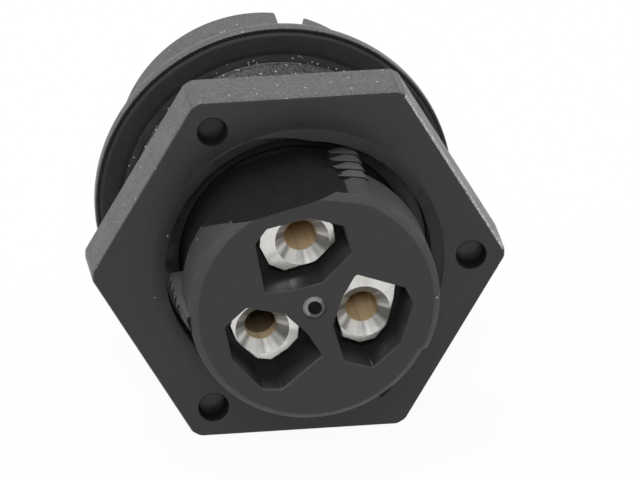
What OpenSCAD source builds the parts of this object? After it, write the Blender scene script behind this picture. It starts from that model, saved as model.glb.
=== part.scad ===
// Panel-mount power connector, lying on its side as it rests on a bench.
// Each piece is drawn along the connector's axis from the mating end, which is at height 0.
// Angles round the axis are seen from the rear, where the wires go in.

/* [Thread] */
// Outside diameter of the panel thread
thread_d = 20; // [19:0.5:22]
// Rise of the thread in one turn
thread_pitch = 1.5; // [1:0.1:2]
// Gap between the nut's bore and the crests of the thread
thread_gap = 0.05; // [0.02:0.01:0.1]

/* [Housing] */
// Width of the flange that stops against the panel, from the thread to its edge
flange_w = 2.5; // [2.4:0.1:4]
// Wall at the flange's edge, outside the groove for the seal
flange_rim = 0.3; // [0.2:0.05:0.5]
// Thickness of the flange
flange_t = 2.4; // [2:0.1:4]
// Slope at the flange's front edge
flange_chamfer = 1.3; // [0.5:0.1:1.6]
// Length of the mating collar in front of the flange
collar_l = 7.1; // [6.9:0.1:9]
// Outside diameter of the mating collar
collar_d = 19.6; // [18.8:0.2:20.4]
// Thickness of the mating collar's wall
collar_wall = 1.5; // [1.2:0.1:1.7]
// Small slope at the collar's open end
collar_chamfer = 0.4; // [0.1:0.1:0.6]
// Width of the key slot in the collar
key_slot_w = 2.1; // [1:0.1:3]
// Depth of the key slot from the collar's end
key_slot_l = 6.5; // [2:0.1:6.8]
// Place of the key slot round the axis
key_slot_angle = 76; // [0:1:359]
// Length of the threaded tube behind the flange
tube_l = 10; // [9:0.1:14]
// Wall of the tube under the thread, in front of the carrier
tube_wall = 0.9; // [0.7:0.05:1.2]
// Depth of the seat at the end of the tube for the carrier's shoulder
seat_depth = 1.2; // [0.8:0.1:2]

/* [Panel seal] */
// Gap between the seal and the wall of its groove
seal_gap = 0.1; // [0.05:0.05:0.2]
// Gap between the seal's hole and the thread
seal_clear = 0.15; // [0.05:0.05:0.3]
// Thickness of the seal
seal_t = 1.2; // [1.1:0.1:1.6]
// Depth of the groove in the flange that holds the seal
seal_groove = 0.9; // [0.5:0.1:1]
// Width of the low inner lip of the seal
seal_lip_w = 0.5; // [0.2:0.1:0.7]
// Height that the inner lip lies below the sealing face
seal_lip_drop = 0.3; // [0.1:0.1:0.5]
// Slope at the seal's outer edge
seal_edge = 0.3; // [0.1:0.1:0.5]

/* [Panel nut] */
// Thickness of the nut from the thread to a flat
nut_wall = 2.5; // [2.2:0.1:4]
// Height that is rounded off each corner of the nut
nut_corner_trim = 0.18; // [0.1:0.01:0.4]
// Thickness of the nut
nut_t = 4.2; // [3:0.1:6]
// Distance of the nut from the flange, as it is stored
nut_stand = 7.9; // [7:0.1:8.5]
// Slope at each end of the nut's bore
nut_sink = 0.1; // [0.05:0.05:0.4]
// Distance of the blind holes from the nut's corners
nut_hole_inset = 2.35; // [2.2:0.05:2.5]
// Diameter of the blind holes
nut_hole_d = 2; // [1.2:0.1:2.2]
// Depth of the blind holes
nut_hole_depth = 1.2; // [0.5:0.1:2]

/* [Contact carrier] */
// Diameter of the carrier's rear disc
head_d = 16.9; // [16.7:0.1:17.1]
// Thickness of the rear disc
head_t = 4.6; // [3:0.1:5]
// Step from the disc down to the neck, which sits in the end of the tube
neck_step = 0.55; // [0.35:0.05:0.65]
// Length of the neck and the disc, from the shoulder to the rear face
head_l = 10.4; // [9.6:0.1:14]
// Slope round the rear face
head_chamfer = 0.5; // [0.2:0.1:0.7]
// Width of the shoulder that stops the carrier in the tube
shoulder_w = 0.45; // [0.3:0.05:0.55]
// Length of the carrier inside the tube, in front of the shoulder
body_l = 4.8; // [4.7:0.1:5.2]
// Gap all round the carrier in the housing
carrier_gap = 0.1; // [0.05:0.01:0.15]
// Height that the top flat takes off the disc
flat_cut = 0.85; // [0.6:0.05:1.2]
// Direction that the top flat faces
flat_angle = 105; // [100:1:108]
// Rise of the thicker side above the disc
thick_side_h = 0.25; // [0.1:0.05:0.35]
// Distance of the thicker side's front edge from the disc's
thick_side_set = 0.2; // [0.1:0.05:0.5]
// Where the thicker side starts round the axis
thick_side_start = -26; // [-40:1:-10]
// How far the thicker side goes round
thick_side_span = 90; // [40:1:92]
// Direction of the first tooth rack
rack_angle = 69; // [66:1:70]
// Width of a rack
rack_w = 2; // [1:0.1:2.4]
// Rise of the teeth above the disc
rack_h = 0.5; // [0.3:0.05:0.6]
// Rise of the low end of each tooth above the disc
rack_foot = 0.06; // [0.02:0.02:0.1]
// Distance from tooth to tooth
rack_pitch = 1.3; // [1.2:0.05:1.4]
// Teeth in a rack
rack_teeth = 4; // [2:1:4]
// Distance of the last tooth from the rear face
rack_inset = 2.8; // [2.2:0.1:3]
// Diameter of the moulding gate's dimple in the rear face
gate_d = 1.5; // [1:0.1:2]
// Depth of the dimple
gate_depth = 0.35; // [0.1:0.05:0.6]
// Diameter of the stub inside the dimple
gate_stub_d = 0.9; // [0.4:0.1:0.9]

/* [Carrier seal] */
// Thickness of the carrier's sealing ring
ring_t = 0.84; // [0.7:0.02:0.9]
// Width of the groove for the ring
ring_groove_w = 1.1; // [1:0.05:1.2]
// Distance of the groove from the carrier's front face
ring_inset = 0.4; // [0.3:0.05:0.5]

/* [Pockets and contacts] */
// Distance of the wire bores from the edge of the carrier's disc
contact_inset = 4.4; // [4.25:0.05:4.5]
// Direction of the first contact
contact_angle = 97; // [95:1:100]
// Distance of a contact's rear end from the carrier's rear face
contact_recess = 2.4; // [1.5:0.1:3]
// Thickness of the carrier in front of the pockets
web_t = 1.9; // [1.8:0.05:2]
// Gap between a contact and the pocket that it is pushed into
pocket_gap = 0.1; // [0.05:0.05:0.15]
// Depth that the wider mouth of a pocket goes past the contact's rear end
mouth_depth = 1.5; // [0.5:0.1:3]
// Diameter of the wire bore
wire_d = 2.2; // [1.6:0.1:2.3]
// Metal that stops the wire in front of its bore
wire_stop = 0.3; // [0.2:0.05:0.6]
// Diameter of the funnel mouth
funnel_d = 3.7; // [3:0.1:3.9]
// Depth of the funnel
funnel_depth = 0.8; // [0.4:0.1:1.2]
// Diameter of a mating pin
pin_d = 2.5; // [2:0.1:2.6]
// Diameter of a pin's root, which the carrier holds
pin_root_d = 3; // [2.7:0.1:3.2]
// Gap round a pin's root in the carrier
pin_gap = 0.05; // [0.03:0.01:0.1]
// Distance of the pin tips from the collar's end
pin_inset = 4.4; // [4.2:0.1:6]

/* [Clamp screws] */
// Diameter of a clamp screw
screw_d = 2.4; // [1.8:0.1:2.4]
// Gap between a screw and its hole in the contact
screw_gap = 0.05; // [0.02:0.01:0.08]
// Length of a clamp screw
screw_l = 1.8; // [1.4:0.1:1.9]
// Metal between the screw's hole and the front face of the wire clamp
screw_edge = 0.15; // [0.1:0.05:0.25]
// Width of the driver slot
screw_slot_w = 0.5; // [0.3:0.1:0.7]
// Depth of the driver slot
screw_slot_depth = 0.6; // [0.3:0.1:0.8]

/* [Hidden] */
$fn = 96;

// Overlap that lets a cut pass cleanly through a face
cut = 1;

// Sizes that follow the thread
flange_d = thread_d + 2 * flange_w;
seal_groove_r = flange_d / 2 - flange_rim;
seal_r = seal_groove_r - seal_gap;
seal_hole_r = thread_d / 2 + seal_clear;
nut_af = thread_d + 2 * nut_wall;
nut_corner_r = nut_af / 2 / cos(30) - nut_corner_trim;

// Radii of the mating collar's well and of the carrier, and the contacts' distance from the axis
well_r = collar_d / 2 - collar_wall;
head_r = head_d / 2;
neck_r = head_r - neck_step;
body_r = neck_r - shoulder_w;
contact_out = head_r - contact_inset;

// Heights along the axis
flange_rear = collar_l + flange_t;
tube_end = flange_rear + tube_l;
shoulder = tube_end - seat_depth;
head_rear = shoulder + head_l;
carrier_front = shoulder - body_l;
pocket_floor = carrier_front + web_t;
contact_rear = head_rear - contact_recess;
wire_floor = pocket_floor + wire_stop;
seal_seat = flange_rear - seal_groove;
nut_front = flange_rear + nut_stand;
screw_height = pocket_floor + screw_edge + screw_gap + screw_d / 2;

// The thread as a row of rings, one to each turn, with a metric thread's shares of the pitch.
// A ring doesn't climb, so the section of the housing stays one profile. The nut's bore passes over the rings.
thread_crest_r = thread_d / 2;
thread_depth = 0.61 * thread_pitch;
thread_root_r = thread_crest_r - thread_depth;
thread_crest_w = thread_pitch / 8;
thread_root_w = thread_pitch / 4;
thread_turns = floor((tube_end - seal_seat) / thread_pitch);
tube_bore_r = thread_root_r - tube_wall;
nut_bore_r = thread_crest_r + thread_gap;

// Bores that the carrier fits in
body_bore_r = body_r + carrier_gap;
neck_bore_r = neck_r + carrier_gap;

// Space for the carrier's sealing ring, which fills its groove out to the bore
ring_outer_r = body_bore_r - carrier_gap / 4;
ring_centre_r = ring_outer_r - ring_t / 2;
ring_groove_r = ring_outer_r - ring_t - carrier_gap / 4;
ring_height = carrier_front + ring_inset + ring_groove_w / 2;

// The contacts stand a third of a turn apart
contact_step = 120;
angle_top = contact_angle;
angle_left = contact_angle + contact_step;
angle_right = contact_angle + 2 * contact_step;

// Outline of a pocket's mouth, as distances outward and sideways from its wire bore
mouth_outline = [
    [-2.3, 3.2],
    [-2.5, 1.3],
    [-2.3, -0.8],
    [-0.5, -3],
    [1.5, -2.8],
    [2.6, -0.5],
    [2.3, 2.5],
    [1.3, 3.4]
];

// Outline of a contact, measured the same way
contact_outline = [
    [-2.1, 1.5],
    [-1.8, -0.7],
    [-0.6, -2.3],
    [0.7, -2.3],
    [1.6, -1.65],
    [1.95, -0.5],
    [1.65, 1.6],
    [1.3, 2.75],
    [0, 3],
    [-1.45, 2.5]
];
contact_reach = max([for (p = contact_outline) p[0]]);

// A clamp screw's place when it is open: its tip is level with the wall of the wire bore
screw_tip_r = contact_out + wire_d / 2 + screw_gap;

plastic_colour = [0.17, 0.17, 0.18];
rubber_colour = [0.08, 0.08, 0.085];
nickel_colour = [0.78, 0.76, 0.72];
brass_colour = [0.72, 0.58, 0.3];

// Unit vector square to an edge, pointing left of its direction
function left_of(a, b) = let (d = (b - a) / norm(b - a)) [-d[1], d[0]];

// Moves every edge of an outline outward by the same distance, where its points run anticlockwise
function outset(points, by) = let (n = len(points)) [
    for (i = [0 : n - 1])
        let (
            before = left_of(points[(i + n - 1) % n], points[i]),
            after = left_of(points[i], points[(i + 1) % n])
        )
        points[i] - by * (before + after) / (1 + before * after)
];

// Lays the axis level, with the mating end at the back and the flange's edge on the bench
module laid() {
    translate([0, head_rear / 2, max(flange_d, nut_af) / 2])
        rotate([90, 0, 0])
        children();
}

// Puts a shape beside the axis, its own x pointing outward
module round_axis(angle, out = 0) {
    rotate(angle)
        translate([out, 0, 0])
        children();
}

// The six-sided outline of the nut, flats above and below
module hexagon(across_flats) {
    circle(d = across_flats / cos(30), $fn = 6);
}

// Corners of the thread's rings, from the seal to the end of the tube
function thread_corners() = [
    for (turn = [thread_turns : -1 : 1])
        let (
            middle = tube_end - (turn - 0.5) * thread_pitch,
            foot = (thread_pitch - thread_root_w) / 2,
            top = thread_crest_w / 2
        )
        for (corner = [
            [thread_root_r, -foot],
            [thread_crest_r, -top],
            [thread_crest_r, top],
            [thread_root_r, foot]
        ])
            [corner[0], middle + corner[1]]
];

module housing_profile() {
    front = [
        [well_r, 0],
        [collar_d / 2 - collar_chamfer, 0],
        [collar_d / 2, collar_chamfer],
        [collar_d / 2, collar_l],
        [flange_d / 2 - flange_chamfer, collar_l],
        [flange_d / 2, collar_l + flange_chamfer],
        [flange_d / 2, flange_rear],
        [seal_groove_r, flange_rear],
        [seal_groove_r, seal_seat],
        [thread_root_r, seal_seat]
    ];
    bore = [
        [thread_root_r, tube_end],
        [neck_bore_r, tube_end],
        [neck_bore_r, shoulder],
        [body_bore_r, shoulder],
        [body_bore_r, carrier_front],
        [tube_bore_r, carrier_front - (tube_bore_r - body_bore_r)],
        [tube_bore_r, collar_l],
        [well_r, collar_l]
    ];
    polygon(concat(front, thread_corners(), bore));
}

module housing() {
    color(plastic_colour)
        laid()
        difference() {
            rotate_extrude() housing_profile();
            round_axis(key_slot_angle, well_r - cut)
                translate([0, -key_slot_w / 2, -cut])
                cube([collar_wall + 2 * cut, key_slot_w, key_slot_l + cut]);
        }
}

module panel_seal() {
    r_in = seal_hole_r;
    r_out = seal_r;
    color(rubber_colour)
        laid()
        translate([0, 0, seal_seat])
        rotate_extrude()
        polygon([
            [r_in, 0],
            [r_out, 0],
            [r_out, seal_t - seal_edge],
            [r_out - seal_edge, seal_t],
            [r_in + seal_lip_w + seal_lip_drop, seal_t],
            [r_in + seal_lip_w, seal_t - seal_lip_drop],
            [r_in, seal_t - seal_lip_drop]
        ]);
}

module panel_nut() {
    color(plastic_colour)
        laid()
        translate([0, 0, nut_front])
        difference() {
            intersection() {
                linear_extrude(nut_t) hexagon(nut_af);
                cylinder(r = nut_corner_r, h = nut_t);
            }
            translate([0, 0, -cut]) cylinder(r = nut_bore_r, h = nut_t + 2 * cut);
            translate([0, 0, nut_t - nut_sink])
                cylinder(r1 = nut_bore_r, r2 = nut_bore_r + 2 * nut_sink, h = 2 * nut_sink);
            translate([0, 0, -nut_sink])
                cylinder(r1 = nut_bore_r + 2 * nut_sink, r2 = nut_bore_r, h = 2 * nut_sink);
            for (turn = [0 : 120 : 240])
                round_axis(turn, nut_corner_r - nut_hole_inset)
                translate([0, 0, nut_t - nut_hole_depth])
                cylinder(d = nut_hole_d, h = nut_hole_depth + cut);
        }
}

// Half section of the carrier's rear disc, for a given radius and thickness
module disc_profile(r, t) {
    polygon([
        [0, head_rear - t],
        [r, head_rear - t],
        [r, head_rear - head_chamfer],
        [r - head_chamfer, head_rear],
        [0, head_rear]
    ]);
}

// Half section of the neck and of the body inside the tube, with the groove for the sealing ring
module body_profile() {
    groove_start = carrier_front + ring_inset;
    polygon([
        [0, carrier_front],
        [body_r, carrier_front],
        [body_r, groove_start],
        [ring_groove_r, groove_start],
        [ring_groove_r, groove_start + ring_groove_w],
        [body_r, groove_start + ring_groove_w],
        [body_r, shoulder],
        [neck_r, shoulder],
        [neck_r, head_rear - cut],
        [0, head_rear - cut]
    ]);
}

// Saw teeth that climb towards the rear face, cut off square at the rear of each tooth
module rack() {
    root = neck_r - rack_h;
    crest = head_r + rack_h;
    last = head_rear - rack_inset;
    translate([0, rack_w / 2, 0])
        rotate([90, 0, 0])
        linear_extrude(rack_w)
        for (i = [0 : rack_teeth - 1])
            translate([0, last - (i + 1) * rack_pitch])
            polygon([
                [root, 0],
                [head_r + rack_foot, 0],
                [crest, rack_pitch],
                [root, rack_pitch]
            ]);
}

// Everything that is cut out of the carrier for one contact
module pocket() {
    translate([0, 0, contact_rear - mouth_depth])
        linear_extrude(contact_recess + mouth_depth + cut)
        polygon(mouth_outline);
    translate([0, 0, pocket_floor])
        linear_extrude(head_rear - pocket_floor)
        polygon(outset(contact_outline, pocket_gap));
    translate([0, 0, carrier_front - cut])
        cylinder(d = pin_root_d + 2 * pin_gap, h = web_t + 2 * cut);
    translate([0, 0, screw_height])
        rotate([0, 90, 0])
        cylinder(d = screw_d + 2 * pocket_gap, h = body_r);
}

module contact_carrier() {
    color(plastic_colour)
        laid()
        difference() {
            union() {
                difference() {
                    union() {
                        rotate_extrude() body_profile();
                        rotate_extrude() disc_profile(head_r, head_t);
                        rotate(thick_side_start)
                            rotate_extrude(angle = thick_side_span)
                            disc_profile(head_r + thick_side_h, head_t - thick_side_set);
                    }
                    rotate(flat_angle)
                        translate([head_r - flat_cut, -head_r, tube_end + carrier_gap])
                        cube([head_d, head_d, head_l]);
                }
                for (turn = [0 : contact_step : 359])
                    round_axis(rack_angle + turn) rack();
            }
            for (turn = [0 : contact_step : 359])
                round_axis(contact_angle + turn, contact_out) pocket();
            translate([0, 0, head_rear - gate_depth])
                difference() {
                    cylinder(d = gate_d, h = gate_depth + cut);
                    cylinder(d = gate_stub_d, h = gate_depth + cut);
                }
        }
}

module carrier_seal() {
    color(rubber_colour)
        laid()
        translate([0, 0, ring_height])
        rotate_extrude()
        translate([ring_centre_r, 0])
        circle(d = ring_t);
}

// A wire clamp that fills its pocket, with its mating pin in one piece
module contact(angle) {
    tip_r = pin_d / 2;
    color(nickel_colour)
        laid()
        round_axis(angle, contact_out)
        difference() {
            union() {
                translate([0, 0, pocket_floor])
                    linear_extrude(contact_rear - pocket_floor)
                    polygon(contact_outline);
                translate([0, 0, carrier_front])
                    cylinder(d = pin_root_d, h = web_t + cut);
                translate([0, 0, pin_inset + tip_r])
                    cylinder(d = pin_d, h = carrier_front + cut - pin_inset - tip_r);
                translate([0, 0, pin_inset + tip_r]) sphere(r = tip_r);
            }
            translate([0, 0, wire_floor])
                cylinder(d = wire_d, h = contact_rear + cut - wire_floor);
            translate([0, 0, contact_rear - funnel_depth])
                cylinder(d1 = wire_d, d2 = 2 * funnel_d - wire_d, h = 2 * funnel_depth);
            translate([0, 0, screw_height])
                rotate([0, 90, 0])
                cylinder(d = screw_d + 2 * screw_gap, h = 2 * contact_reach);
        }
}

module contact_top() {
    contact(angle_top);
}

module contact_left() {
    contact(angle_left);
}

module contact_right() {
    contact(angle_right);
}

// A headless screw, its driver slot facing outward
module clamp_screw(angle) {
    color(brass_colour)
        laid()
        round_axis(angle, screw_tip_r)
        translate([0, 0, screw_height])
        rotate([0, 90, 0])
        difference() {
            cylinder(d = screw_d, h = screw_l);
            translate([-screw_d, -screw_slot_w / 2, screw_l - screw_slot_depth])
                cube([2 * screw_d, screw_slot_w, screw_slot_depth + cut]);
        }
}

module clamp_screw_top() {
    clamp_screw(angle_top);
}

module clamp_screw_left() {
    clamp_screw(angle_left);
}

module clamp_screw_right() {
    clamp_screw(angle_right);
}

housing();
panel_seal();
panel_nut();
contact_carrier();
carrier_seal();
contact_top();
contact_left();
contact_right();
clamp_screw_top();
clamp_screw_left();
clamp_screw_right();
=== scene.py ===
# %% [markdown]
# # A round power connector for a panel
# The tube of this connector goes through a hole in a panel, and a hexagon nut holds it from behind.
# A carrier in the end of the tube holds the wire clamps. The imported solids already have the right
# sizes, places and joints. This script dresses them: it makes finer meshes with threads and eased
# edges, gives each piece a finish, and sets up a small studio. A model could also be dressed with
# modifiers alone, but threads and moulded edges need meshes of their own.

# %% Load the solids
import math

import bmesh
import bpy
from mathutils import Matrix, Vector


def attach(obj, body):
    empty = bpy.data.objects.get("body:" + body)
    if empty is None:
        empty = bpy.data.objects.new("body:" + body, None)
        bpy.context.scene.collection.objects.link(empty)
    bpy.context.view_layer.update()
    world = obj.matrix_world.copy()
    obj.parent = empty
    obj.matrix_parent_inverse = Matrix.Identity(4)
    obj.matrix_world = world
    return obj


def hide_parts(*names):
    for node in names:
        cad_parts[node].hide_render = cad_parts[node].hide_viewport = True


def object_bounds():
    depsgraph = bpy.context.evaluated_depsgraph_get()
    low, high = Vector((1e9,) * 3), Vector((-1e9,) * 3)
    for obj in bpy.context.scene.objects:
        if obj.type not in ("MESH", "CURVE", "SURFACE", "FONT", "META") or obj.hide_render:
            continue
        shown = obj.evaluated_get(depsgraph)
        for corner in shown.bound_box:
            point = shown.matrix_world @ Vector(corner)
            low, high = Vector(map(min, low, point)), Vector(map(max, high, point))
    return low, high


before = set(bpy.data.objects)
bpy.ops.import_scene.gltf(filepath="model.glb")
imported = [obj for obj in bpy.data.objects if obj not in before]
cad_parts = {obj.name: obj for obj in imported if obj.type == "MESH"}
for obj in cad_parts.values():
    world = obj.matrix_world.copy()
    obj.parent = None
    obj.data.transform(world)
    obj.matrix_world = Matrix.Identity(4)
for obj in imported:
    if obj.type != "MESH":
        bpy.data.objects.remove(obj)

cad_low, cad_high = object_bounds()
print("solids:", ", ".join(sorted(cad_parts)))

# %% [markdown]
# ## The connector's own axis
# Nearly every piece is round, so it is easiest to draw along the connector's axis, in millimetres,
# from the mating end at height 0. One matrix then lays each finished mesh down on the bench, with
# its axis level. The other way, drawing in the scene's metres, would put the same offset into every
# number.

# %% Lay the axis down
MM = 0.001
length = (cad_high.y - cad_low.y) / MM
axis_height = (cad_high.z + cad_low.z) / 2 / MM
LAY = (
    Matrix.Translation((0, length / 2 * MM, axis_height * MM))
    @ Matrix.Rotation(math.pi / 2, 4, "X")
    @ Matrix.Scale(MM, 4)
)
print(f"axis {axis_height:.2f} mm above the bench, {length:.2f} mm long")

# %% [markdown]
# ## The camera
# The picture is taken with a long lens from behind, a little to the left and from above. The nut's
# rear face fixes the frame: its centre has a known place in the picture, and its width a known size.
# The camera is aimed beside it instead of shifting the lens, so that other views stay centred.

# %% Aim the camera
PICTURE_W, PICTURE_H = 640, 480
NUT_REAR = 21.6
nut_in_picture = (299.3, 265.1)
pixels_per_mm = 14.62
distance = 0.75
azimuth, elevation = math.radians(-8.4), math.radians(24.2)
away = Vector((
    math.sin(azimuth) * math.cos(elevation),
    -math.cos(azimuth) * math.cos(elevation),
    math.sin(elevation),
))
look = (-away).to_track_quat("-Z", "Y")
right, up = look @ Vector((1, 0, 0)), look @ Vector((0, 1, 0))
beside = (PICTURE_W / 2 - nut_in_picture[0]) * right + (nut_in_picture[1] - PICTURE_H / 2) * up
aim = LAY @ Vector((0, 0, NUT_REAR)) + beside / pixels_per_mm * MM

lens = bpy.data.cameras.new("camera")
lens.sensor_width = 36
lens.lens = pixels_per_mm / MM * distance * lens.sensor_width / PICTURE_W
lens.clip_start = 0.05
camera = bpy.data.objects.new("camera", lens)
camera.rotation_mode = "QUATERNION"
camera.rotation_quaternion = look
camera.location = aim + away * distance
bpy.context.scene.collection.objects.link(camera)
bpy.context.scene.camera = camera
print(f"lens of {lens.lens:.0f} mm at {distance} m")

# %% [markdown]
# ## The studio
# The connector lies in a white room. The background could be made white by strong lamps, but they
# would bleach the object. Light Path tells what kind of ray meets a surface, so the room can be
# white where the camera or a mirror looks at it, and still give only a little light.

# %% White room
bpy.context.scene.view_settings.view_transform = "Standard"


def calc(tree, operation, *values):
    """One step of arithmetic on numbers and sockets."""
    made = tree.nodes.new("ShaderNodeMath")
    made.operation = operation
    for socket, value in zip(made.inputs, values):
        if isinstance(value, (int, float)):
            socket.default_value = value
        else:
            tree.links.new(value, socket)
    return made.outputs[0]


def seen_directly(tree):
    """1 where the camera, a mirror or glass looks straight at a surface, 0 where it only lights."""
    path = tree.nodes.new("ShaderNodeLightPath")
    seen = path.outputs["Is Camera Ray"]
    for other in ("Is Glossy Ray", "Is Transmission Ray"):
        seen = calc(tree, "MAXIMUM", seen, path.outputs[other])
    return seen


def blend(tree, share, first, second, output):
    """Sends a mix of two shaders to an output."""
    mixed = tree.nodes.new("ShaderNodeMixShader")
    for socket, source in zip(mixed.inputs, (share, first.outputs[0], second.outputs[0])):
        tree.links.new(source, socket)
    tree.links.new(mixed.outputs[0], tree.nodes[output].inputs["Surface"])


world = bpy.data.worlds.new("studio")
bpy.context.scene.world = world
world.use_nodes = True
sky = world.node_tree
room = sky.nodes["Background"]
white = sky.nodes.new("ShaderNodeBackground")
for light, strength in ((room, 0.25), (white, 1.0)):
    light.inputs["Color"].default_value = (1, 1, 1, 1)
    light.inputs["Strength"].default_value = strength
blend(sky, seen_directly(sky), room, white, "World Output")
print("white room made")

# %% [markdown]
# The floor is a sheet of white paper. Paper that is only lit would need far more light to look white,
# so for the camera it is nearly all glow. A small share of plain diffuse light is left in it, because
# that keeps a faint shadow under the connector.

# %% Paper floor
floor_shape = bmesh.new()
bmesh.ops.create_grid(floor_shape, x_segments=8, y_segments=8, size=1.5)
floor_mesh = bpy.data.meshes.new("floor")
floor_shape.to_mesh(floor_mesh)
floor_shape.free()
floor = bpy.data.objects.new("floor", floor_mesh)
bpy.context.scene.collection.objects.link(floor)

GLOW_SHARE = 0.94
paper = bpy.data.materials.new("white paper")
paper.use_nodes = True
sheet = paper.node_tree
matt = sheet.nodes["Principled BSDF"]
matt.inputs["Base Color"].default_value = (0.82, 0.82, 0.82, 1)
matt.inputs["Roughness"].default_value = 0.9
glow = sheet.nodes.new("ShaderNodeEmission")
glow.inputs["Strength"].default_value = 1.0
blend(sheet, calc(sheet, "MULTIPLY", seen_directly(sheet), GLOW_SHARE), matt, glow, "Material Output")
floor_mesh.materials.append(paper)
print("paper floor made")

# %% [markdown]
# A dark object is lit best by large soft panels, because its edges then show as thin bright lines.
# Small lamps would give hard spots instead. One panel hangs above, one stands at each side, and a
# small one over the camera reaches into the pockets.

# %% Soft panels
target = Vector((0, 0, axis_height * MM))


def soft_panel(name, place, size, watts):
    """A square lamp that faces the connector."""
    lamp = bpy.data.lights.new(name, "AREA")
    lamp.shape = "SQUARE"
    lamp.size = size
    lamp.energy = watts
    holder = bpy.data.objects.new(name, lamp)
    holder.location = place
    holder.rotation_mode = "QUATERNION"
    holder.rotation_quaternion = (target - Vector(place)).to_track_quat("-Z", "Y")
    bpy.context.scene.collection.objects.link(holder)
    print(f"{name}: {watts} W, {size} m")


soft_panel("top_panel", (-0.1, 0.12, 0.55), size=0.5, watts=2.2)
soft_panel("left_panel", (-0.5, -0.1, 0.3), size=0.35, watts=0.8)
soft_panel("right_panel", (0.5, 0.0, 0.25), size=0.35, watts=0.8)
soft_panel("camera_panel", camera.location + up * 0.12, size=0.2, watts=3.2)

# %% [markdown]
# ## Finishes
# A finish is a small tree of nodes. Each one here starts with a cloudy noise and a ramp that turns it
# into colours. They could be clicked together in the shader editor as well, but the same few steps
# come back in each, so every step becomes a function.

# %% Noise and ramps
def finish(name):
    """A new material with its tree, its main shader and its object coordinates."""
    material = bpy.data.materials.new(name)
    material.use_nodes = True
    tree = material.node_tree
    place = tree.nodes.new("ShaderNodeTexCoord").outputs["Object"]
    return material, tree, tree.nodes["Principled BSDF"], place


def noise(tree, place, per_mm, detail=3.0):
    """Cloudy values with so many blotches to a millimetre."""
    made = tree.nodes.new("ShaderNodeTexNoise")
    made.inputs["Scale"].default_value = per_mm / MM
    made.inputs["Detail"].default_value = detail
    tree.links.new(place, made.inputs["Vector"])
    return made.outputs["Fac"]


def grey(value):
    return (value, value, value)


def ramp(tree, value, low, high):
    """Turns a value into a colour: each end is a place and a colour."""
    made = tree.nodes.new("ShaderNodeValToRGB")
    for stop, (position, colour) in zip(made.color_ramp.elements, (low, high)):
        stop.position = position
        stop.color = (*colour, 1)
    tree.links.new(value, made.inputs["Fac"])
    return made.outputs["Color"]


print("noise and ramps ready")

# %% [markdown]
# Colour alone looks painted on. A real surface also changes in shine from place to place, carries
# dots of another colour, and has a fine relief. Meshes that fine would be too heavy, so a bump makes
# the relief, at a scale that no outline shows.

# %% Shine, dots and relief
def uneven(tree, shader, clouds, rough, spread):
    """Lets the roughness wander round its value."""
    shades = ramp(tree, clouds, (0.3, grey(rough - spread)), (0.7, grey(rough + spread)))
    tree.links.new(shades, shader.inputs["Roughness"])


def dotted(tree, shader, mask, ground, dots):
    """The base colour: a ground with paler dots where a mask is 1."""
    made = tree.nodes.new("ShaderNodeMix")
    made.data_type = "RGBA"
    tree.links.new(mask, made.inputs[0])
    tree.links.new(ground, made.inputs[6])
    made.inputs[7].default_value = (*dots, 1)
    tree.links.new(made.outputs[2], shader.inputs["Base Color"])


def bump(tree, shader, height, depth_mm):
    """Roughens the surface by so many millimetres."""
    made = tree.nodes.new("ShaderNodeBump")
    made.inputs["Distance"].default_value = depth_mm * MM
    tree.links.new(height, made.inputs["Height"])
    tree.links.new(made.outputs["Normal"], shader.inputs["Normal"])


print("shine, dots and relief ready")

# %% [markdown]
# Black glass-filled plastic isn't a flat colour. Its fibres show as a fine mottle and as sparse pale
# flecks, most of all on walls that left the mould with a drag. Noise makes the mottle, and Voronoi
# cells make the flecks: only the middle of a few cells is pale. A picture texture could do it too,
# but would need unwrapping.

# %% Black moulded plastic
FLECKS_PER_MM, FLECK_SIZE = 3.2, 0.16
RELIEF = 0.017


def flecks(tree, place, share):
    """A mask of pale dots: the middles of some Voronoi cells."""
    cells = tree.nodes.new("ShaderNodeTexVoronoi")
    cells.inputs["Scale"].default_value = FLECKS_PER_MM / MM
    tree.links.new(place, cells.inputs["Vector"])
    middle = ramp(tree, cells.outputs["Distance"], (FLECK_SIZE, grey(1)), (FLECK_SIZE * 1.5, grey(0)))
    return calc(tree, "MULTIPLY", middle, calc(tree, "LESS_THAN", cells.outputs["Color"], share))


def moulded(name, tone, mottle, share, rough, shine):
    """Black plastic. The mottle gives its relief too, and the share is that of flecked cells."""
    material, tree, shader, place = finish(name)
    shader.inputs["Specular IOR Level"].default_value = shine
    fibres = noise(tree, place, 7.0, 2.0)
    dark, light = (tuple(part * k for part in tone) for k in (1 - mottle, 1 + mottle))
    ground = ramp(tree, fibres, (0.3, dark), (0.7, light))
    dotted(tree, shader, flecks(tree, place, share), ground, grey(0.5))
    uneven(tree, shader, noise(tree, place, 0.8, 4.0), rough, 0.06)
    bump(tree, shader, fibres, RELIEF * mottle)
    return material


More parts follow.
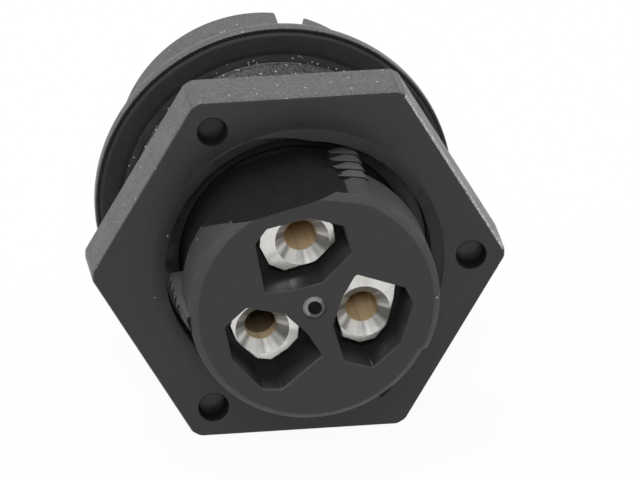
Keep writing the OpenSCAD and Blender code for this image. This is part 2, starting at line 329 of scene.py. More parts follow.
plastics = [
    moulded("smooth black plastic", (0.014, 0.014, 0.015), 0.15, 0.015, rough=0.3, shine=0.4),
    moulded("grained black plastic", (0.056, 0.056, 0.061), 0.7, 0.14, rough=0.45, shine=0.5),
    # Pale tone: a painted highlight on the nut's eased edges at one flat
    moulded("black plastic with a painted edge highlight", (0.3, 0.3, 0.31), 0.7, 0.1, rough=0.5, shine=0.5),
    # Near-black tone: painted shade for the flat, facet, neck, rack steps and hole walls, on a matt finish
    moulded("matt black plastic with painted shade", (0.01, 0.01, 0.01), 0.4, 0.02, rough=0.85, shine=0.06),
    moulded("worn black plastic", (0.022, 0.022, 0.024), 0.3, 0.08, rough=0.6, shine=0.4),
    moulded("scuffed black plastic", (0.065, 0.065, 0.068), 0.2, 0.04, rough=0.45, shine=0.5),
    moulded("fibrous black plastic", (0.05, 0.05, 0.053), 0.95, 0.6, rough=0.5, shine=0.5),
    moulded("polished black plastic", (0.024, 0.024, 0.023), 0.1, 0.02, rough=0.48, shine=0.25),
    # Pale grey tone: a painted highlight on one side of the gate's ring
    moulded("black plastic with a painted gate highlight", (0.16, 0.16, 0.167), 0.2, 0.03, rough=0.45, shine=0.5),
]
FACE, WALL, EDGE_GLINT, PAINTED_SHADE, EDGE, TOOTH, THREAD, POCKET, GATE_GLINT = range(len(plastics))
print("plastic finishes:", ", ".join(material.name for material in plastics))

# %% [markdown]
# The seal is black rubber, softer in its shine than the plastic, with a bloom of paler clouds. Its
# lip was rubbed on the thread and holds some dust. Dust could be small meshes strewn about, but the
# flecks of the plastic already have the right size.

# %% Rubber
def rubber_finish(name, tone, share):
    """Black rubber: its tone and the share of cells with a speck of dust."""
    material, tree, shader, place = finish(name)
    shader.inputs["Specular IOR Level"].default_value = 0.3
    bloom = noise(tree, place, 1.5, 4.0)
    ground = ramp(tree, bloom, (0.3, grey(tone * 0.75)), (0.75, grey(tone * 1.25)))
    dotted(tree, shader, flecks(tree, place, share), ground, grey(0.4))
    uneven(tree, shader, noise(tree, place, 4.0), 0.72, 0.06)
    bump(tree, shader, noise(tree, place, 12.0, 2.0), 0.006)
    return material


rubber = rubber_finish("matt black rubber", 0.013, 0.01)
rubbed = rubber_finish("rubbed black rubber", 0.035, 0.35)
print("rubber finishes:", rubber.name, "and", rubbed.name)

# %% [markdown]
# The clamps are nickel-plated, with the marks of a lathe tool in their funnels. Such marks spread
# the light into rays. An anisotropic shader makes rays too, but needs tangents, so here the angle
# round the piece's axis drives a noise in one dimension, and the rays are painted reflection in the
# base colour. In the funnels a painted highlight also brightens the low side. Inside the wire bores
# the plating is thin, and the brass shows as brown; deep in the left clamp's bore it is darkened with
# painted shade. The pins stand in a dark well, where a pure mirror would look black, so their plate
# is partly matt.

# %% Metals
FLARE_WAY = math.radians(-100)


def metal_finish(name, dark, light, rough, metallic=1.0, flare=0.0, rays_per_turn=10, span=(0.3, 0.5)):
    """A metal with rays from dark to light, painted reflection in the base colour. A flare is a painted
    highlight that makes its low side brighter than its top.
    """
    material, tree, shader, place = finish(name)
    shader.inputs["Metallic"].default_value = metallic
    parts = tree.nodes.new("ShaderNodeSeparateXYZ")
    tree.links.new(place, parts.inputs[0])
    swing = calc(tree, "ARCTAN2", parts.outputs["Z"], parts.outputs["X"])
    rays = tree.nodes.new("ShaderNodeTexNoise")
    rays.noise_dimensions = "1D"
    rays.inputs["Scale"].default_value = rays_per_turn / (2 * math.pi)
    rays.inputs["Detail"].default_value = 1.0
    tree.links.new(swing, rays.inputs["W"])
    # The flare is a painted highlight on the low side; the rays are painted reflection.
    low_side = calc(tree, "COSINE", calc(tree, "SUBTRACT", swing, FLARE_WAY))
    streaks = calc(tree, "MULTIPLY_ADD", low_side, flare, rays.outputs["Fac"])
    shades = ramp(tree, streaks, (span[0], dark), (span[1], light))
    tree.links.new(shades, shader.inputs["Base Color"])
    uneven(tree, shader, noise(tree, place, 2.5, 3.0), rough, 0.05)
    bump(tree, shader, noise(tree, place, 9.0, 2.0), 0.0003)
    return material


nickel = metal_finish("nickel plate", (0.42, 0.41, 0.385), (0.66, 0.65, 0.62), 0.28)
pin_nickel = metal_finish("nickel plate on a pin", (0.5, 0.49, 0.465), (0.72, 0.71, 0.68), 0.4, 0.6)
# The funnel's bright low side and its rays are painted reflection.
painted_flare_nickel = metal_finish("turned nickel plate with painted reflection", (0.17, 0.165, 0.155), (1.0, 0.99, 0.96), 0.42, 0.6,
                             flare=0.2, rays_per_turn=11, span=(0.46, 0.76))
bore_brass = metal_finish("thin plating in a bore", (0.34, 0.26, 0.15), (0.68, 0.54, 0.34), 0.5, 0.25)
# A near-black brown: painted shade deep in the left clamp's bore
shaded_bore = metal_finish("brass bore with painted shade", (0.04, 0.03, 0.02), (0.22, 0.16, 0.1), 0.5, 0.25)
brass = metal_finish("turned brass", (0.5, 0.34, 0.14), (0.68, 0.5, 0.24), 0.3)
metals = (nickel, pin_nickel, painted_flare_nickel, bore_brass, shaded_bore, brass)
print("metal finishes:", ", ".join(material.name for material in metals))

# %% [markdown]
# ## Tools for round pieces
# A moulded edge is never sharp. `eased` swaps each corner of an outline for a short curve, and `spun`
# turns the outline once round the axis, as Blender's Spin does. The easing sits in the outlines,
# because a bevel put on afterwards often fails where cuts meet.

# %% Turned shapes
def eased(corners, steps=4):
    """A closed outline from corners of (across, along, easing)."""
    outline = []
    for i, (across, along, ease) in enumerate(corners):
        here = Vector((across, along))
        back = Vector(corners[i - 1][:2]) - here
        on = Vector(corners[(i + 1) % len(corners)][:2]) - here
        reach = min(ease, 0.48 * back.length, 0.48 * on.length)
        if reach <= 0:
            outline.append(here)
            continue
        start, stop = here + back.normalized() * reach, here + on.normalized() * reach
        for k in range(steps + 1):
            t = k / steps
            outline.append(start * (1 - t) ** 2 + here * 2 * t * (1 - t) + stop * t * t)
    return outline


def spun(outline, steps=216):
    """Turns an outline of (radius, height) once round the axis."""
    shape = bmesh.new()
    points = [shape.verts.new((radius, 0, height)) for radius, height in outline]
    edges = [shape.edges.new((points[i - 1], points[i])) for i in range(len(points))]
    bmesh.ops.spin(shape, geom=points + edges, cent=(0, 0, 0), axis=(0, 0, 1), angle=2 * math.pi,
                   steps=steps, use_merge=True)
    bmesh.ops.remove_doubles(shape, verts=shape.verts, dist=1e-4)
    bmesh.ops.recalc_face_normals(shape, faces=shape.faces)
    return shape


print("turning tools ready")

# %% [markdown]
# Pieces that aren't round are stacks: one flat outline at several heights, scaled at each. Scaling
# the last layers gives an eased edge or a flared mouth without a bevel.

# %% Stacked shapes
def stacked(outline, levels):
    """Copies of a flat outline at several heights, each scaled, joined into a closed shape."""
    shape = bmesh.new()
    rings = [[shape.verts.new((x * scale, y * scale, height)) for x, y in outline]
             for height, scale in levels]
    for lower, upper in zip(rings, rings[1:]):
        for i in range(len(outline)):
            shape.faces.new((lower[i - 1], lower[i], upper[i], upper[i - 1]))
    shape.faces.new(rings[0])
    shape.faces.new(rings[-1])
    bmesh.ops.recalc_face_normals(shape, faces=shape.faces)
    return shape


def direction(angle):
    """The way from the axis at an angle in degrees."""
    return Vector((math.cos(math.radians(angle)), math.sin(math.radians(angle)), 0))


def around(shape, angle, out=0.0):
    """Moves a shape out from the axis and round it."""
    shape.transform(Matrix.Rotation(math.radians(angle), 4, "Z") @ Matrix.Translation((out, 0, 0)))
    return shape


print("stacking tools ready")

# %% [markdown]
# `cut` takes shapes away with booleans, as a mill would. The exact solver is slower than the fast
# one, but it also holds where faces of two shapes touch. The modifiers are used up at once, so that
# what comes next works on a plain mesh.

# %% Cutting
def as_object(shape):
    """A mesh object that the boolean modifier can use."""
    mesh = bpy.data.meshes.new("workpiece")
    shape.to_mesh(mesh)
    shape.free()
    made = bpy.data.objects.new("workpiece", mesh)
    bpy.context.scene.collection.objects.link(made)
    return made


def cut(shape, *tools):
    """Takes each tool away from a shape."""
    work = as_object(shape)
    cutters = [as_object(tool) for tool in tools]
    for cutter in cutters:
        step = work.modifiers.new("cut", "BOOLEAN")
        step.operation = "DIFFERENCE"
        step.solver = "EXACT"
        step.object = cutter
    bpy.context.view_layer.update()
    ready = work.evaluated_get(bpy.context.evaluated_depsgraph_get())
    mesh = bpy.data.meshes.new_from_object(ready)
    result = bmesh.new()
    result.from_mesh(mesh)
    bpy.data.meshes.remove(mesh)
    for used in (work, *cutters):
        bpy.data.meshes.remove(used.data)
    return result


print("cutting tool ready")

# %% [markdown]
# `joined` puts closed shapes into one mesh without melting them together, which is enough where one
# stands in another. A boolean union would give one skin, but also thin slivers along a thread.

# %% Joining
def joined(*shapes):
    """Several closed shapes as one mesh."""
    result = bmesh.new()
    for shape in shapes:
        mesh = bpy.data.meshes.new("part")
        shape.to_mesh(mesh)
        shape.free()
        result.from_mesh(mesh)
        bpy.data.meshes.remove(mesh)
    return result


print("joining tool ready")

# %% [markdown]
# `fit` turns a finished shape into a piece of the connector. It picks a finish for each face, lays
# the mesh down, shades it smooth up to a set angle, and takes the place of the imported solids. Its
# origin can sit on a clamp's own axis, because the metal's painted rays of reflection start there.

# %% Fitting a piece
SHARP_ANGLE = math.radians(33)


def fit(shape, name, body, nodes, finishes, pick, centre=Vector((0, 0, 0))):
    """Lays a shape down as a piece of the connector, in place of its solids."""
    for face in shape.faces:
        face.material_index = pick(face)
    mesh = bpy.data.meshes.new(name)
    shape.to_mesh(mesh)
    shape.free()
    origin = LAY @ centre
    mesh.transform(Matrix.Translation(-origin) @ LAY)
    for material in finishes:
        mesh.materials.append(material)
    mesh.shade_smooth()
    mesh.set_sharp_from_angle(angle=SHARP_ANGLE)
    piece = bpy.data.objects.new(name, mesh)
    piece.location = origin
    bpy.context.scene.collection.objects.link(piece)
    bpy.context.view_layer.update()
    even = piece.modifiers.new("even shading", "WEIGHTED_NORMAL")
    even.keep_sharp = True
    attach(piece, body)
    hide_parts(*nodes)
    print(f"{name}: {len(mesh.polygons)} faces on {body}")


# %% [markdown]
# ## Threads
# A thread is a grid: rows that climb one pitch in a turn, four rows to each turn for the crest, two
# flanks and the root. Rows past an end are held at that end, so the thread runs out there as a cut
# one does. Blender's Screw modifier makes threads too, but its ends then need cutting.

# %% Thread maker
PITCH, THREAD_PHASE = 1.5, 0.38


def thread(low, high, crest, root, wall, crest_share, root_share, run_out, phase, steps=160):
    """A threaded tube. The wall radius is its plain side, which is hidden in another piece."""
    outer = crest > wall
    rows = [(-crest_share / 2, crest), (crest_share / 2, crest),
            (0.5 - root_share / 2, root), (0.5 + root_share / 2, root)]
    turns = range(math.floor(low / PITCH) - 2, math.ceil(high / PITCH) + 2)
    shape = bmesh.new()
    columns = []
    for i in range(steps + 1):
        way = direction(360 * i / steps)
        points = [(wall, low)]
        for k in turns:
            for part, radius in rows:
                height = min(high, max(low, PITCH * (k + phase + part + i / steps)))
                to_end = min(height - low, high - height)
                drop = abs(crest - root) * (1 - to_end / run_out)
                radius = min(radius, crest - drop) if outer else max(radius, crest + drop)
                points.append((radius, height))
        points.append((wall, high))
        columns.append([shape.verts.new((r * way.x, r * way.y, h)) for r, h in points])
    for here, there in zip(columns, columns[1:]):
        for j in range(len(here)):
            shape.faces.new((here[j - 1], here[j], there[j], there[j - 1]))
    bmesh.ops.remove_doubles(shape, verts=shape.verts, dist=2e-4)
    bmesh.ops.recalc_face_normals(shape, faces=shape.faces)
    return shape


print(f"thread maker ready, {PITCH} mm a turn")

# %% [markdown]
# ## The housing
# The housing is one moulding: a collar that takes the plug, a flange with a groove for the seal, and
# the tube. A plain shank under the seal ends the thread. Stacked cylinders would need a bevel at each
# step, so the section is drawn once, with its easing, and spun.

# %% Housing section
COLLAR_R, WELL_R, FLANGE_R = 9.8, 8.3, 12.5
FLANGE_FRONT, FLANGE_REAR, FLANGE_SLOPE, TUBE_END = 7.1, 9.5, 1.3, 19.5
SEAL_SEAT, GROOVE_R = 8.6, 12.2
THREAD_ROOT, THREAD_CREST = 9.08, 9.97
TUBE_BORE_R, BODY_BORE_R, NECK_BORE_R = 8.185, 7.55, 8.0
SHANK_R, SHANK_REAR = 9.99, 9.5
CARRIER_FRONT, SHOULDER = 13.5, 18.3

housing_shape = spun(eased([
    (WELL_R, 0, 0.15),
    (COLLAR_R, 0, 0.4),
    (COLLAR_R, FLANGE_FRONT, 0.12),
    (FLANGE_R - FLANGE_SLOPE, FLANGE_FRONT, 0.5),
    (FLANGE_R, FLANGE_FRONT + FLANGE_SLOPE, 0.5),
    (FLANGE_R, FLANGE_REAR, 0.1),
    (GROOVE_R, FLANGE_REAR, 0.06),
    (GROOVE_R, SEAL_SEAT, 0),
    (SHANK_R, SEAL_SEAT, 0),
    (SHANK_R, SHANK_REAR, 0.06),
    (THREAD_ROOT - 0.02, SHANK_REAR + 0.25, 0),
    (THREAD_ROOT - 0.02, TUBE_END - 0.05, 0.04),
    (NECK_BORE_R, TUBE_END - 0.05, 0.08),
    (NECK_BORE_R, SHOULDER, 0),
    (BODY_BORE_R, SHOULDER, 0.05),
    (BODY_BORE_R, CARRIER_FRONT, 0.1),
    (TUBE_BORE_R, CARRIER_FRONT - (TUBE_BORE_R - BODY_BORE_R), 0.1),
    (TUBE_BORE_R, FLANGE_FRONT, 0),
    (WELL_R, FLANGE_FRONT, 0),
]))
print(f"housing section: {len(housing_shape.faces)} faces")

# %% [markdown]
# A key in the plug slides into a slot of the collar, so that the plug goes in one way only. A plain
# box would leave sharp corners, so the tool is a stack with rounded corners and a flared mouth.

# %% Key slot
SLOT_W, SLOT_L, SLOT_ANGLE = 2.1, 6.5, 76
slot_outline = eased([
    (-SLOT_W / 2, SLOT_L, 0.6),
    (SLOT_W / 2, SLOT_L, 0.6),
    (SLOT_W / 2, 0.35, 0.2),
    (SLOT_W / 2 + 0.6, -0.4, 0),
    (-SLOT_W / 2 - 0.6, -0.4, 0),
    (-SLOT_W / 2, 0.35, 0.2),
], 6)
slot_tool = stacked(slot_outline, [(6.5, 1), (11.5, 1)])
slot_tool.transform(Matrix(((0, 0, 1, 0), (1, 0, 0, 0), (0, 1, 0, 0), (0, 0, 0, 1))))
housing_shape = cut(housing_shape, around(slot_tool, SLOT_ANGLE))
print(f"housing with its slot: {len(housing_shape.faces)} faces")

# %% [markdown]
# The panel thread is a second closed mesh round the tube, because its rows climb while those of the
# tube are level. It is rough with fibres, while the faces that look along the axis are smooth.

# %% Housing thread and finish
thread_shape = thread(SEAL_SEAT + 0.02, TUBE_END, THREAD_CREST, THREAD_ROOT, wall=8.6,
                      crest_share=0.1, root_share=0.5, run_out=0.7, phase=THREAD_PHASE)


def housing_finish(face):
    """The thread is fibrous, the tube's end and level faces are smooth, other walls are grained."""
    centre = face.calc_center_median()
    at_end = centre.z > TUBE_END - 0.8
    on_thread = THREAD_ROOT - 0.1 < centre.xy.length < THREAD_CREST + 0.1
    if on_thread and centre.z > SEAL_SEAT + 0.1 and not at_end:
        return THREAD
    return FACE if at_end or abs(face.normal.z) > 0.9 else WALL


fit(joined(housing_shape, thread_shape), "housing_moulding", "connector", ["housing"],
    plastics, housing_finish)

# %% [markdown]
# ## The panel seal
# The seal is a flat rubber ring in the flange's groove, with a lower lip at its hole and a rounded
# outer edge. It is a turned section like the housing, with larger easing, because rubber is moulded
# with soft edges.

# %% Seal
SEAL_HOLE_R, SEAL_R, SEAL_TOP, LIP_W = 10.02, 12.18, 9.8, 0.6
seal_shape = spun(eased([
    (SEAL_HOLE_R, SEAL_SEAT, 0),
    (SEAL_R, SEAL_SEAT, 0),
    (SEAL_R, SEAL_TOP, 0.22),
    (SEAL_HOLE_R + LIP_W + 0.3, SEAL_TOP, 0.2),
    (SEAL_HOLE_R + LIP_W, SEAL_TOP - 0.1, 0.15),
    (SEAL_HOLE_R, SEAL_TOP - 0.15, 0.1),
]))


def seal_finish(face):
    """The lip at the hole is rubbed paler than the rest."""
    on_lip = face.calc_center_median().xy.length < SEAL_HOLE_R + LIP_W
    return 1 if on_lip and face.normal.z > 0.5 else 0


fit(seal_shape, "rubber_seal", "connector", ["panel_seal"], [rubber, rubbed], seal_finish)

# %% [markdown]
# ## The panel nut
# The nut is a hexagon with eased edges, a threaded bore and blind holes in three corners for a pin
# spanner. A six-sided cylinder with a bevel comes close, but a stack of scaled hexagons also takes
# the trimmed corners. Bore and holes are cut with turned tools that widen at the mouth.

# %% Nut blank
NUT_FRONT, NUT_FLAT, NUT_CORNER_R, NUT_MOUTH_R = 17.4, 12.5, 14.254, 10.06
SPANNER_ANGLES, SPANNER_OUT, SPANNER_R = (0, 120, 240), NUT_CORNER_R - 2.35, 1.0
SPANNER_FLOOR = NUT_REAR - 1.2
trim = 30 - math.degrees(math.acos(NUT_FLAT / NUT_CORNER_R))
corners = [NUT_CORNER_R * direction(middle + side) for middle in range(0, 360, 60) for side in (-trim, trim)]
hexagon = eased([(corner.x, corner.y, 0.16) for corner in corners], 3)


def inset(depth):
    """The scale that moves a flat inward by a depth."""
    return 1 - depth / NUT_FLAT


blank = stacked(hexagon, [
    (NUT_FRONT, inset(0.22)), (NUT_FRONT + 0.05, inset(0.1)), (NUT_FRONT + 0.2, 1),
    (NUT_REAR - 0.2, 1), (NUT_REAR - 0.05, inset(0.06)), (NUT_REAR, inset(0.18)),
])
bore_tool = spun([
    (0, NUT_FRONT - 1), (NUT_MOUTH_R + 1.1, NUT_FRONT - 1), (NUT_MOUTH_R, NUT_FRONT + 0.1),
    (NUT_MOUTH_R, NUT_REAR - 0.1), (NUT_MOUTH_R + 1.1, NUT_REAR + 1), (0, NUT_REAR + 1),
], 160)


def spanner_hole(angle):
    """A blind hole with an eased mouth."""
    return around(spun([
        (0, SPANNER_FLOOR), (SPANNER_R - 0.08, SPANNER_FLOOR), (SPANNER_R, SPANNER_FLOOR + 0.1),
        (SPANNER_R, NUT_REAR - 0.08), (SPANNER_R + 0.08, NUT_REAR), (SPANNER_R + 0.58, NUT_REAR + 0.5),
        (0, NUT_REAR + 0.5),
    ], 48), angle, SPANNER_OUT)


nut_shape = cut(blank, bore_tool, *[spanner_hole(angle) for angle in SPANNER_ANGLES])
print(f"nut blank: {len(nut_shape.faces)} faces")

# %% [markdown]
# The inner thread is a ring set into the bore. Its phase is half a turn from the tube's, so that
# crests meet roots. A wide flat face has its middle near the axis, so the thread's faces are told
# by their farthest corner.

# %% Nut thread and finish
NUT_CREST, NUT_ROOT, GLINT_FLAT = 9.2, 10.05, 30
nut_thread = thread(NUT_FRONT + 0.15, NUT_REAR - 0.01, NUT_CREST, NUT_ROOT, wall=10.3,
                    crest_share=0.42, root_share=0.15, run_out=0.1, phase=THREAD_PHASE + 0.5)


def nut_finish(face):
    """Grained flats, a worn thread, a painted highlight on the eased edges of one flat, and painted shade on
    the walls of the holes.
    """
    centre, across = face.calc_center_median(), face.normal.xy
    if max(point.co.xy.length for point in face.verts) < NUT_MOUTH_R + 0.3:
        return EDGE
    upright = abs(face.normal.z) < 0.8
    holes = [SPANNER_OUT * direction(angle).xy for angle in SPANNER_ANGLES]
    # The walls of the spanner holes are darkened with painted shade.
    if upright and min((centre.xy - hole).length for hole in holes) < SPANNER_R + 0.1:
        return PAINTED_SHADE
    # The eased edges of one flat carry a painted highlight.
    if 0.35 < across.length < 0.95 and across.normalized().dot(direction(GLINT_FLAT).xy) > 0.95:
        return EDGE_GLINT
    return WALL if upright and centre.xy.length > NUT_FLAT - 0.1 else FACE


fit(joined(nut_shape, nut_thread), "hexagon_nut", "nut", ["panel_nut"], plastics, nut_finish)

# %% [markdown]
# ## The contact carrier
# The carrier is the piece that shows most. It is a disc on a neck, flattened on top, thicker on one
# side, with three racks of saw teeth for a cable clamp. The turned blank comes first. The thicker
# side is then pushed out point by point and fades at its end, which a second turned piece couldn't.

# %% Carrier blank
HEAD_R, NECK_R, BODY_R, HEAD_REAR, HEAD_T, HEAD_SLOPE = 8.45, 7.9, 7.45, 28.7, 4.6, 0.5
HEAD_FRONT = HEAD_REAR - HEAD_T
RING_R, RING_FRONT, RING_REAR = 6.66, CARRIER_FRONT + 0.4, CARRIER_FRONT + 1.5
carrier_shape = spun(eased([
    (0, CARRIER_FRONT, 0),
    (BODY_R, CARRIER_FRONT, 0.1),
    (BODY_R, RING_FRONT, 0.05),
    (RING_R, RING_FRONT, 0),
    (RING_R, RING_REAR, 0),
    (BODY_R, RING_REAR, 0.05),
    (BODY_R, SHOULDER, 0),
    (NECK_R, SHOULDER, 0.05),
    (NECK_R, HEAD_FRONT, 0.05),
    (HEAD_R, HEAD_FRONT, 0.15),
    (HEAD_R, HEAD_REAR - HEAD_SLOPE, 0.12),
    (HEAD_R - HEAD_SLOPE, HEAD_REAR, 0.12),
    (0, HEAD_REAR, 0),
]), 240)
THICK_START, THICK_SPAN, THICK_FADE, THICK_H = -26, 90, 12, 0.25
for point in carrier_shape.verts:
    radius = point.co.xy.length
    swing = (math.degrees(math.atan2(point.co.y, point.co.x)) - THICK_START) % 360
    fade = min(1, 1 - (swing - THICK_SPAN) / THICK_FADE)
    if radius > NECK_R + 0.01 and point.co.z > HEAD_FRONT - 0.1 and fade > 0:
        point.co.xy *= (radius + THICK_H * fade) / radius
print(f"carrier blank: {len(carrier_shape.faces)} faces")

# %% [markdown]
# Each pocket is an irregular eight-sided well. Its mouth is wider than the clamp, so dark walls show
# beside the metal. The cutting shape flares a little at the top, which gives the mouth its eased
# edge. A round hole leads out from each pocket to the clamp screw.

# %% Pockets
CONTACT_OUT, CONTACT_REAR, POCKET_FLOOR, MOUTH_DEPTH = 4.05, 26.3, 15.4, 1.5
SCREW_R, SCREW_HEIGHT = 1.2, 16.8
ANGLES = {"top": 97, "left": 217, "right": 337}
mouth_outline = [(-2.3, 3.2), (-2.5, 1.3), (-2.3, -0.8), (-0.5, -3), (1.5, -2.8), (2.6, -0.5),
                 (2.3, 2.5), (1.3, 3.4)]
clamp_outline = [(-2.1, 1.5), (-1.8, -0.7), (-0.6, -2.3), (0.7, -2.3), (1.6, -1.65), (1.95, -0.5),
                 (1.65, 1.6), (1.3, 2.75), (0, 3), (-1.45, 2.5)]


def screw_hole(radius):
    """A round hole that runs outward from a wire bore, for its clamp screw."""
    tool = spun([(0, 0), (radius, 0), (radius, BODY_R), (0, BODY_R)], 48)
    tool.transform(Matrix.Translation((0, 0, SCREW_HEIGHT)) @ Matrix.Rotation(math.pi / 2, 4, "Y"))
    return tool


def pocket_tools(angle):
    """The wide mouth, the close pocket and the screw hole of one clamp."""
    mouth = stacked(eased([(*corner, 0.12) for corner in mouth_outline], 3), [
        (CONTACT_REAR - MOUTH_DEPTH, 0.985), (HEAD_REAR - 0.1, 1), (HEAD_REAR, 1.035),
        (HEAD_REAR + 0.5, 1.2)])
    well = stacked(clamp_outline, [(POCKET_FLOOR, 1.05), (CONTACT_REAR, 1.05)])
    hole = screw_hole(SCREW_R + 0.1)
    return [around(tool, angle, CONTACT_OUT) for tool in (mouth, well, hole)]


pockets = [tool for angle in ANGLES.values() for tool in pocket_tools(angle)]
print(f"{len(pockets)} tools for {len(ANGLES)} pockets")

# %% [markdown]
# The flat is a plain chord. A shallow facet beside it takes the corner off the disc: three points on
# the disc's edge give its plane, and the tool's axes are laid along that plane. The dimple in the
# middle of the rear face is the moulding gate, with a raised ring in it.

# %% Flat, facet and gate
FLAT_ANGLE, FLAT_CUT = 105, 0.85
flat_tool = stacked([(0, -9), (9, -9), (9, 9), (0, 9)], [(TUBE_END + 0.1, 1), (HEAD_REAR + 1, 1)])
around(flat_tool, FLAT_ANGLE, HEAD_R - FLAT_CUT)

facet_start = Vector((-5.7, 6.24, HEAD_REAR - 0.95))
facet_stop = Vector((-6.84, 4.97, HEAD_REAR - 3.44))
facet_top = Vector((-5.53, 6.39, HEAD_FRONT))
FACET_DEPTH = 0.06
down = (facet_stop - facet_start).normalized()
outward = (facet_top - facet_start).cross(down).normalized()
inward = down.cross(outward)
facet_tool = stacked([(0, 0), (5, 0), (5, 5), (0, 5)], [(-FACET_DEPTH, 1), (5, 1)])
facet_axes = Matrix((inward, down, outward)).transposed().to_4x4()
facet_tool.transform(Matrix.Translation(facet_start) @ facet_axes)
in_front = stacked([(-20, -20), (20, -20), (20, 20), (-20, 20)], [(0, 1), (HEAD_FRONT, 1)])
facet_tool = cut(facet_tool, in_front)

GATE_DEPTH = 0.35
gate_section = [(0, -GATE_DEPTH, 0), (0.34, -GATE_DEPTH, 0.05), (0.4, -0.12, 0.08), (0.5, -0.01, 0.1),
                (0.62, -0.01, 0.1), (0.76, -0.15, 0.08), (0.84, 0, 0), (1.2, 0.36, 0), (0, 0.36, 0)]
gate_tool = spun(eased([(radius, HEAD_REAR + height, ease) for radius, height, ease in gate_section]), 48)
carrier_shape = cut(carrier_shape, flat_tool, facet_tool, gate_tool, *pockets)
print(f"carrier with its cuts: {len(carrier_shape.faces)} faces")

# %% [markdown]
# A rack's teeth climb towards the rear and are cut off square there. The steps are tall at the flat's
# side and fade out towards the other, so one extruded outline isn't enough. The bar is lofted
# instead: the same outline is drawn at four places across the rack with other heights, and
# neighbours are joined by quads.

# %% Tooth racks
RACK_ANGLE, RACK_PITCH, RACK_TEETH, RACK_INSET = 69, 1.3, 4, 2.8
RACK_LAST, RACK_REAR, RACK_FOOT_R = HEAD_REAR - RACK_INSET, HEAD_REAR - 0.55, NECK_R - 0.5
# Place across the rack, radius of the crests, of the low ends and of the disc's edge behind them
RACK_PLACES = [(1.0, 8.63, 8.2, 8.3), (0.13, 8.87, 8.81, 8.5), (-0.66, 9.04, 8.95, 8.66),
               (-0.95, 8.95, 8.8, 8.6)]


def rack(angle):
    """A lofted bar of saw teeth. Its square steps and the wall beside the flat are darkened with painted
    shade.
    """
    bar = bmesh.new()
    rings = []
    for across, crest, low_end, edge in RACK_PLACES:
        side = [(RACK_FOOT_R, RACK_LAST - RACK_TEETH * RACK_PITCH)]
        for tooth in range(RACK_TEETH, 0, -1):
            start = RACK_LAST - tooth * RACK_PITCH
            side += [(low_end, start + 0.02), (crest, start + RACK_PITCH)]
        side += [(low_end, RACK_LAST + 0.02), (edge, RACK_REAR), (RACK_FOOT_R, RACK_REAR)]
        rings.append([bar.verts.new((radius, across, height)) for radius, height in side])
    for here, there in zip(rings, rings[1:]):
        for i in range(len(here)):
            bar.faces.new((here[i - 1], here[i], there[i], there[i - 1]))
    bar.faces.new(rings[0])
    bar.faces.new(rings[-1])
    bmesh.ops.recalc_face_normals(bar, faces=bar.faces)
    for face in bar.faces:
        square = face.normal.z > 0.8 or face.normal.y > 0.9
        behind = face.calc_center_median().z > RACK_LAST
        # Square steps and the side wall get painted shade.
        face.material_index = PAINTED_SHADE if square else EDGE if behind else TOOTH
    return around(bar, angle)


racks = [rack(RACK_ANGLE + third) for third in (0, 120, 240)]
print(f"{len(racks)} racks of {RACK_TEETH} teeth")

# %% [markdown]
# The carrier's finish follows its form: the rear face is smooth, the disc's edge is worn and the
# pocket walls are polished. The flat, the facet, the neck and the disc's side between a rack and the
# flat are matt and darkened with painted shade. The gate's ring carries a painted highlight on one
# side and painted shade in its middle. Faces could be picked by hand in edit mode, but a rule on
# place and direction still holds when a size changes.

# %% Carrier finish
GATE_R, GATE_RING_R, GATE_SHADE_R = 0.85, 0.77, 0.48
gate_shade_middle, gate_glint_way = Vector((0.06, -0.05)), Vector((-0.766, 0.643))


def gate_finish(place):
    """Painted shade in the middle, a little to one side, in a ring with a painted highlight on the other
    side.
    """
    if place.length > GATE_RING_R:
        return FACE
    # Painted shade in the dimple's middle.
    if (place - gate_shade_middle).length < GATE_SHADE_R:
        return PAINTED_SHADE
    # A painted highlight on one side of the ring.
    return GATE_GLINT if place.dot(gate_glint_way) > -0.1 else TOOTH


def carrier_finish(face):
    """A finish from the face's place and direction. The racks keep theirs."""
    centre = face.calc_center_median()
    radius = centre.xy.length
    upright = abs(face.normal.z) < 0.3
    if face.material_index:
        return face.material_index
    if radius < GATE_R and abs(centre.z - HEAD_REAR) < GATE_DEPTH + 0.02:
        return gate_finish(centre.xy)
    # The flat is darkened with painted shade.
    if face.normal.dot(direction(FLAT_ANGLE)) > 0.99 and radius > HEAD_R - 1:
        return PAINTED_SHADE
    # The facet is darkened with painted shade like the flat.
    above_facet = (centre - facet_start).dot(outward) + FACET_DEPTH
    if face.normal.dot(outward) > 0.99 and abs(above_facet) < 0.01:
        return PAINTED_SHADE
    # In front of the head, the neck and the other outer faces are darkened with painted shade.
    if centre.z < HEAD_FRONT + 0.05:
        return PAINTED_SHADE if radius > BODY_R - 0.1 else FACE
    # Between a rack and the flat, the disc's side is darkened with painted shade.
    beside_rack = RACK_ANGLE + 5 < math.degrees(math.atan2(centre.y, centre.x)) < FLAT_ANGLE
    if beside_rack and upright and radius > HEAD_R - 0.2:
        return PAINTED_SHADE
    if upright and radius < HEAD_R - 0.6:
        return POCKET
    return EDGE if face.normal.z < 0.9 else FACE


fit(joined(carrier_shape, *racks), "clamp_carrier", "connector", ["contact_carrier"],
    plastics, carrier_finish)

# %% [markdown]
# ## The wire clamps
# Each clamp is a nickel-plated block with a funnel that leads the wire into its bore, and a round
# pin at the other end. The block could be eased in its outline like the plastic, but metal that was
# sawn and tumbled is broken at every edge, so all its edges are bevelled before the funnel is cut.
# The pin is turned and joined on.

# %% Clamp shape
WIRE_R, FUNNEL_R, FUNNEL_DEPTH, WIRE_FLOOR = 1.1, 1.85, 0.8, 15.7
FUNNEL_END, LIT_DEPTH = CONTACT_REAR - FUNNEL_DEPTH, 1.0
PIN_R, PIN_ROOT_R, PIN_TIP = 1.25, 1.5, 4.4


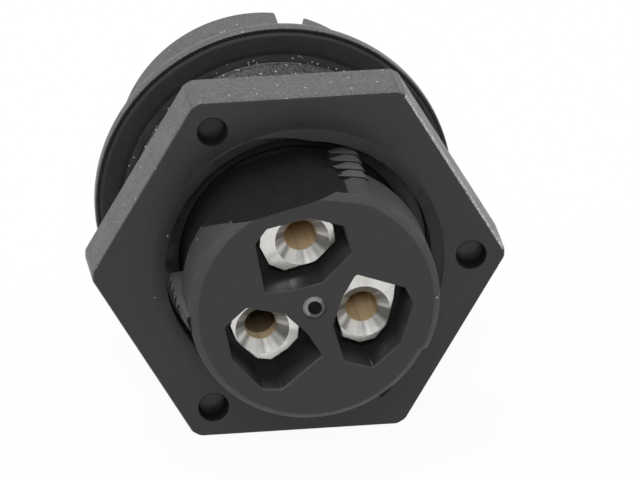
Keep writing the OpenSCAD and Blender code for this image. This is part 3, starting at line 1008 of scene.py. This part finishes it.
def clamp_shape(outline):
    """A sawn block with its funnel, its bore and its pin."""
    block = stacked(outline, [(POCKET_FLOOR, 1), (CONTACT_REAR, 1)])
    bmesh.ops.bevel(block, geom=block.edges, offset=0.1, segments=3, profile=0.5, affect="EDGES")
    funnel = spun(eased([
        (0, WIRE_FLOOR, 0), (WIRE_R, WIRE_FLOOR, 0), (WIRE_R, FUNNEL_END - LIT_DEPTH, 0),
        (WIRE_R, FUNNEL_END, 0.06), (2 * FUNNEL_R - WIRE_R, CONTACT_REAR + FUNNEL_DEPTH, 0),
        (0, CONTACT_REAR + FUNNEL_DEPTH, 0)]), 72)
    dome = [(PIN_R * math.sin(t), PIN_TIP + PIN_R * (1 - math.cos(t)))
            for t in (step * math.pi / 16 for step in range(9))]
    pin = spun(dome + [
        (PIN_R, CARRIER_FRONT), (PIN_ROOT_R - 0.05, CARRIER_FRONT), (PIN_ROOT_R, CARRIER_FRONT + 0.05),
        (PIN_ROOT_R, POCKET_FLOOR + 0.1), (0, POCKET_FLOOR + 0.1)], 64)
    return joined(cut(block, funnel, screw_hole(SCREW_R + 0.05)), pin)


print(f"clamp shape ready, {CONTACT_REAR - PIN_TIP:.1f} mm long")

# %% [markdown]
# The clamps sit in their pockets a third of a turn apart. One mesh could be shared by all, but the
# left clamp has a corner filed off and a bore darkened with painted shade, so each is made by itself.
# Its origin is on the axis of its bore.

# %% Clamps in their pockets
filed_outline = clamp_outline[:7] + [(0.95, 2.3), (-0.4, 2.4), (-1.5, 2.2)]
PLATE, BORE, FUNNEL, BORE_MOUTH, PIN = range(5)


def clamp(name, angle, outline, bore):
    """Makes a clamp and fits it into its pocket."""
    middle = CONTACT_OUT * direction(angle)

    def clamp_finish(face):
        """Plate outside, painted reflection rays in the funnel, brass at the bore's mouth and the given bore
        finish deeper in, and softer plate on the pin.
        """
        centre = face.calc_center_median()
        if centre.z < POCKET_FLOOR - 0.05:
            return PIN
        off_axis = (centre.xy - middle.xy).length
        if off_axis < WIRE_R + 0.03 and WIRE_FLOOR - 0.05 < centre.z < FUNNEL_END:
            return BORE if centre.z < FUNNEL_END - LIT_DEPTH else BORE_MOUTH
        return FUNNEL if off_axis < FUNNEL_R + 0.1 and 0.2 < face.normal.z < 0.9 else PLATE

    fit(around(clamp_shape(outline), angle, CONTACT_OUT), f"wire_clamp_{name}", "connector",
        [f"contact_{name}"], [nickel, bore, painted_flare_nickel, bore_brass, pin_nickel],
        clamp_finish, middle)


clamp("top", ANGLES["top"], clamp_outline, bore_brass)
# The left clamp's deep bore is darkened with painted shade.
clamp("left", ANGLES["left"], filed_outline, shaded_bore)
clamp("right", ANGLES["right"], clamp_outline, bore_brass)

# %% [markdown]
# ## Hidden pieces
# The carrier's sealing ring and the clamp screws lie inside. Their solids are already right, so they
# keep their meshes and only get a finish.

# %% Finish the hidden solids
for node, material in (("carrier_seal", rubber), ("clamp_screw_top", brass), ("clamp_screw_left", brass),
                       ("clamp_screw_right", brass)):
    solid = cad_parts[node]
    solid.data.materials.clear()
    solid.data.materials.append(material)
    print(node, "has", material.name)
